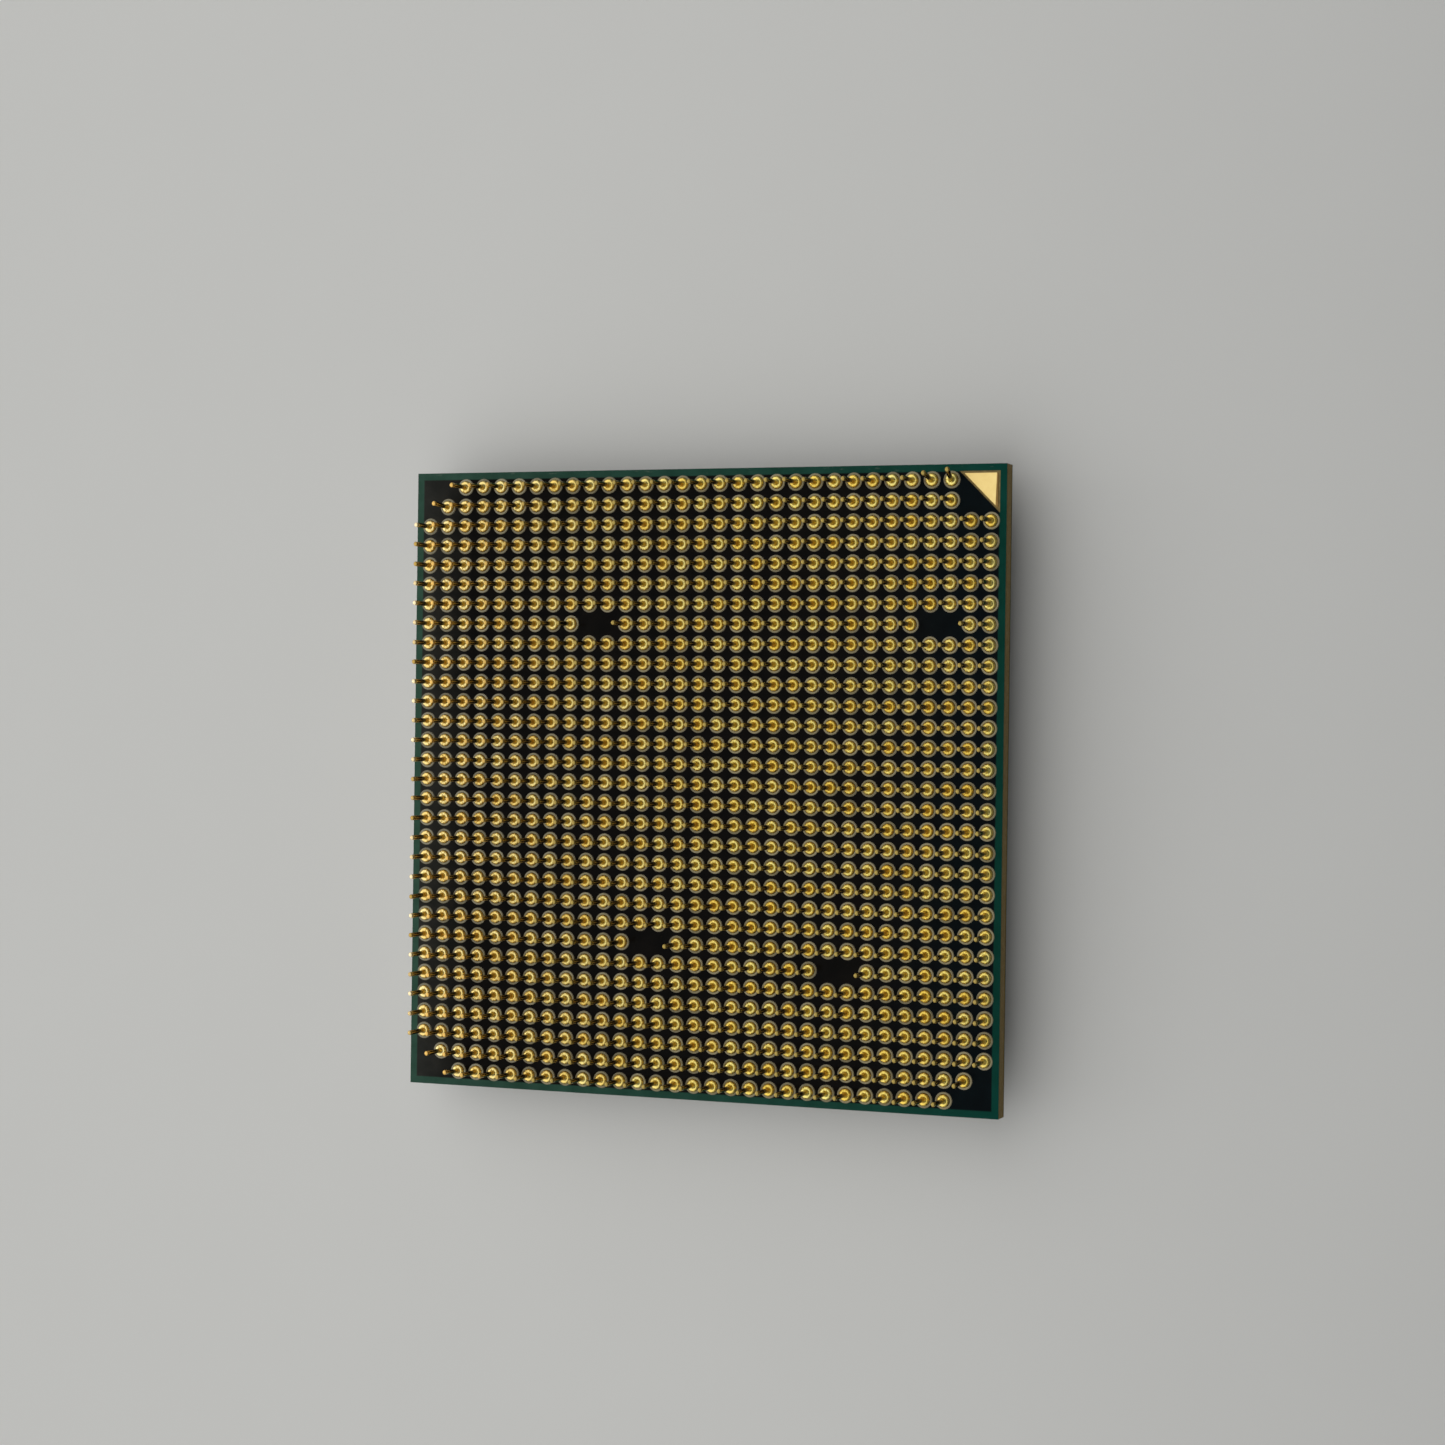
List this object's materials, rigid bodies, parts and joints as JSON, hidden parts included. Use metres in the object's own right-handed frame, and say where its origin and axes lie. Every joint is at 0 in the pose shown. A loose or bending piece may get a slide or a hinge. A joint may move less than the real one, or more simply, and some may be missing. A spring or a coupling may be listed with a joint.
{
  "type": "pin-grid processor",
  "caption": "Square processor package with a metal lid, green laminate substrate and a dense square field of gold contact pins, keyed by corner marks and empty places.",
  "frame": {"origin": "centre of the lid's outer face, which the package lies on", "axes": "+Z from the lid towards the pin tips, +X along the pin columns' numbers from 1 to 31, +Y towards row A; the corner mark is at the +X, +Y corner"},
  "size_m": [0.04, 0.04, 0.0064],
  "materials": {
    "nickel_plate": "nickel-plated copper, fine satin grain, no lettering",
    "sealant": "dark grey silicone adhesive, matt",
    "indium": "soft dull silver solder",
    "silicon": "polished dark grey silicon",
    "solder": "reflowed solder, smooth and bright grey",
    "epoxy": "dark blue-black underfill epoxy",
    "ceramic": "fired brown ceramic",
    "tin": "matt tin plating",
    "solder_mask": "dark green solder mask, satin, nearly black over copper",
    "laminate": "sawn glass-fibre laminate, amber brown with fine layers",
    "copper": "plain copper foil",
    "gold_plate": "soft satin gold plating",
    "gold_pin": "bright gold plating over drawn pins"
  },
  "bodies": {
    "root": {"heat_spreader": "nickel_plate", "lid_sealant": "sealant", "thermal_solder": "indium", "silicon_die": "silicon", "die_bumps": "solder", "underfill": "epoxy", "capacitor_bodies": "ceramic", "capacitor_terminals": "tin", "lid_side_mask": "solder_mask", "lid_side_mark": "gold_plate", "lid_side_buildup": "laminate", "ground_plane": "copper", "substrate_core": "laminate", "power_plane": "copper", "pin_side_buildup": "laminate", "pin_side_mask": "solder_mask", "pin_side_mark": "gold_plate", "pin_lands": "gold_plate", "pin_solder": "solder", "pin_row_a": "gold_pin", "pin_row_b": "gold_pin", "pin_row_c": "gold_pin", "pin_row_d": "gold_pin", "pin_row_e": "gold_pin", "pin_row_f": "gold_pin", "pin_row_g": "gold_pin", "pin_row_h": "gold_pin", "pin_row_j": "gold_pin", "pin_row_k": "gold_pin", "pin_row_l": "gold_pin", "pin_row_m": "gold_pin", "pin_row_n": "gold_pin", "pin_row_p": "gold_pin", "pin_row_r": "gold_pin", "pin_row_t": "gold_pin", "pin_row_u": "gold_pin", "pin_row_v": "gold_pin", "pin_row_w": "gold_pin", "pin_row_y": "gold_pin", "pin_row_aa": "gold_pin", "pin_row_ab": "gold_pin", "pin_row_ac": "gold_pin", "pin_row_ad": "gold_pin", "pin_row_ae": "gold_pin", "pin_row_af": "gold_pin", "pin_row_ag": "gold_pin", "pin_row_ah": "gold_pin", "pin_row_aj": "gold_pin", "pin_row_ak": "gold_pin", "pin_row_al": "gold_pin"}
  },
  "joints": []
}
